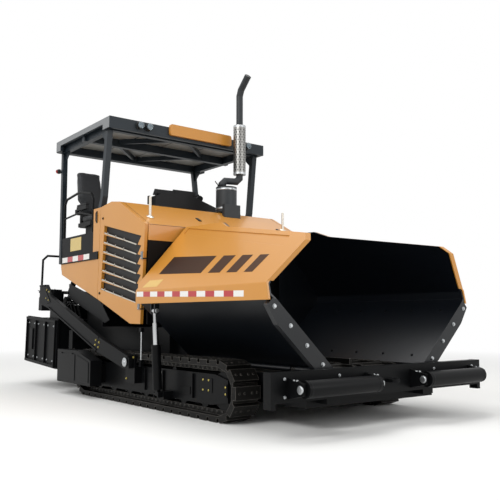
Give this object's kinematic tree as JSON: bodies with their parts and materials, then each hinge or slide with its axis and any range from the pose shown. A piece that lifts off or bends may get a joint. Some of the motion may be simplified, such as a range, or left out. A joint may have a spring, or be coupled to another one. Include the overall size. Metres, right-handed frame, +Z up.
{
  "type": "tracked asphalt paver",
  "caption": "Tracked asphalt paver with folding hopper wings, slat conveyors, augers, a roofed operator deck and a towed screed that lifts and widens.",
  "frame": {"origin": "on the ground under the middle of the machine's length", "axes": "+X forward to the hopper, +Y to the machine's left, +Z up"},
  "size_m": [6.79, 2.96, 4.4939],
  "materials": {
    "orange_paint": "satin",
    "black_paint": "satin",
    "charcoal_paint": "satin",
    "roof_grey": "satin",
    "track_steel": "worn",
    "bright_steel": "polished",
    "worn_steel": "worn",
    "sleeve_steel": "satin",
    "exhaust_black": "matt",
    "black_plastic": "matt",
    "lamp_glass": "gloss",
    "seat_fabric": "woven",
    "roller_rubber": "satin"
  },
  "bodies": {
    "chassis": {"track_right": "track_steel", "track_left": "track_steel", "track_wheels": "black_paint", "track_frames": "black_paint", "main_frame": "black_paint", "conveyor_floor": "worn_steel", "conveyor_chains": "worn_steel", "bulkheads": "black_paint", "engine": "charcoal_paint", "hood": "orange_paint", "side_panels": "orange_paint", "operator_deck": "black_paint", "deck_skirts": "charcoal_paint", "console": "black_plastic", "seat_base": "black_plastic", "seat_cushions": "seat_fabric", "handrails": "black_paint", "roof_posts": "roof_grey", "roof_top": "roof_grey", "roof_rim": "roof_grey", "roof_visor": "orange_paint", "roof_lamps": "lamp_glass", "exhaust": "exhaust_black", "exhaust_sleeve": "sleeve_steel", "auger_hanger": "black_paint", "side_boxes": "black_paint", "bumper": "black_paint"},
    "louvre_door_right": {"louvre_door_right": "orange_paint"},
    "wing_right": {"wing_shell_right": "orange_paint", "wing_liner_right": "black_paint"},
    "wing_cylinder_right": {"wing_cylinder_right": "black_paint"},
    "wing_rod_right": {"wing_rod_right": "bright_steel"},
    "push_roller_right": {"push_roller_right": "roller_rubber"},
    "auger_right": {"auger_right": "worn_steel"},
    "screed_extension_right": {"screed_extension_right": "charcoal_paint"},
    "louvre_door_left": {"louvre_door_left": "orange_paint"},
    "wing_left": {"wing_shell_left": "orange_paint", "wing_liner_left": "black_paint"},
    "wing_cylinder_left": {"wing_cylinder_left": "black_paint"},
    "wing_rod_left": {"wing_rod_left": "bright_steel"},
    "push_roller_left": {"push_roller_left": "roller_rubber"},
    "auger_left": {"auger_left": "worn_steel"},
    "screed_extension_left": {"screed_extension_left": "charcoal_paint"},
    "screed": {"screed_frame": "black_paint", "tow_arms": "charcoal_paint", "screed_deck": "black_paint"},
    "lift_cylinders": {"lift_barrels": "black_paint"},
    "lift_rods": {"lift_rods": "bright_steel"}
  },
  "joints": [
    {"name": "louvre_door_right_hinge", "type": "hinge", "parent": "chassis", "child": "louvre_door_right", "pos_m": [0.5, -1.25, 0.942], "axis": [0.0723, 0, 0.9974], "range_deg": [0, 90]},
    {"name": "wing_right_hinge", "type": "hinge", "parent": "chassis", "child": "wing_right", "pos_m": [0, -0.68, 0.52], "axis": [-1, 0, 0], "range_deg": [-26, 10]},
    {"name": "wing_cylinder_right_pivot", "type": "hinge", "parent": "chassis", "child": "wing_cylinder_right", "pos_m": [1.08, -1.34, 0.2], "axis": [-1, 0, 0], "range_deg": [-20.2, 7.9]},
    {"name": "wing_rod_right_slide", "type": "slide", "parent": "wing_cylinder_right", "child": "wing_rod_right", "axis": [0, -0.0561, 0.9984], "range_m": [-0.33, 0.13]},
    {"name": "push_roller_right_spin", "type": "hinge", "parent": "chassis", "child": "push_roller_right", "pos_m": [3.32, -0.8, 0.42], "axis": [0, 1, 0], "continuous": true},
    {"name": "auger_right_spin", "type": "hinge", "parent": "chassis", "child": "auger_right", "pos_m": [-1.575, -0.6, 0.42], "axis": [0, 1, 0], "continuous": true},
    {"name": "screed_extension_right_slide", "type": "slide", "parent": "screed", "child": "screed_extension_right", "axis": [0, -1, 0], "range_m": [0, 1.1]},
    {"name": "louvre_door_left_hinge", "type": "hinge", "parent": "chassis", "child": "louvre_door_left", "pos_m": [0.5, 1.25, 0.942], "axis": [-0.0723, 0, -0.9974], "range_deg": [0, 90]},
    {"name": "wing_left_hinge", "type": "hinge", "parent": "chassis", "child": "wing_left", "pos_m": [0, 0.68, 0.52], "axis": [1, 0, 0], "range_deg": [-26, 10]},
    {"name": "wing_cylinder_left_pivot", "type": "hinge", "parent": "chassis", "child": "wing_cylinder_left", "pos_m": [1.08, 1.34, 0.2], "axis": [1, 0, 0], "range_deg": [-20.2, 7.9]},
    {"name": "wing_rod_left_slide", "type": "slide", "parent": "wing_cylinder_left", "child": "wing_rod_left", "axis": [0, 0.0561, 0.9984], "range_m": [-0.33, 0.13]},
    {"name": "push_roller_left_spin", "type": "hinge", "parent": "chassis", "child": "push_roller_left", "pos_m": [3.32, 0.8, 0.42], "axis": [0, 1, 0], "continuous": true},
    {"name": "auger_left_spin", "type": "hinge", "parent": "chassis", "child": "auger_left", "pos_m": [-1.575, 0.6, 0.42], "axis": [0, 1, 0], "continuous": true},
    {"name": "screed_extension_left_slide", "type": "slide", "parent": "screed", "child": "screed_extension_left", "axis": [0, 1, 0], "range_m": [0, 1.1]},
    {"name": "screed_lift", "type": "hinge", "parent": "chassis", "child": "screed", "pos_m": [0.35, 0, 0.5], "axis": [0, 1, 0], "range_deg": [-5.4, 0]},
    {"name": "lift_cylinder_pivot", "type": "hinge", "parent": "chassis", "child": "lift_cylinders", "pos_m": [-1.79, 0, 1.64], "axis": [0, 1, 0], "range_deg": [-8.55, 0]},
    {"name": "lift_rod_slide", "type": "slide", "parent": "lift_cylinders", "child": "lift_rods", "axis": [-0.6247, 0, -0.7809], "range_m": [0, 0.2406]}
  ],
  "couplings": [
    {"joint": "wing_cylinder_right_pivot", "follows": "wing_right_hinge", "ratio": 0.74},
    {"joint": "wing_rod_right_slide", "follows": "wing_right_hinge", "m_per_rad": 0.7},
    {"joint": "wing_cylinder_left_pivot", "follows": "wing_left_hinge", "ratio": 0.74},
    {"joint": "wing_rod_left_slide", "follows": "wing_left_hinge", "m_per_rad": 0.7},
    {"joint": "lift_cylinder_pivot", "follows": "screed_lift", "ratio": 1.4945},
    {"joint": "lift_rod_slide", "follows": "screed_lift", "m_per_rad": -2.4085}
  ]
}
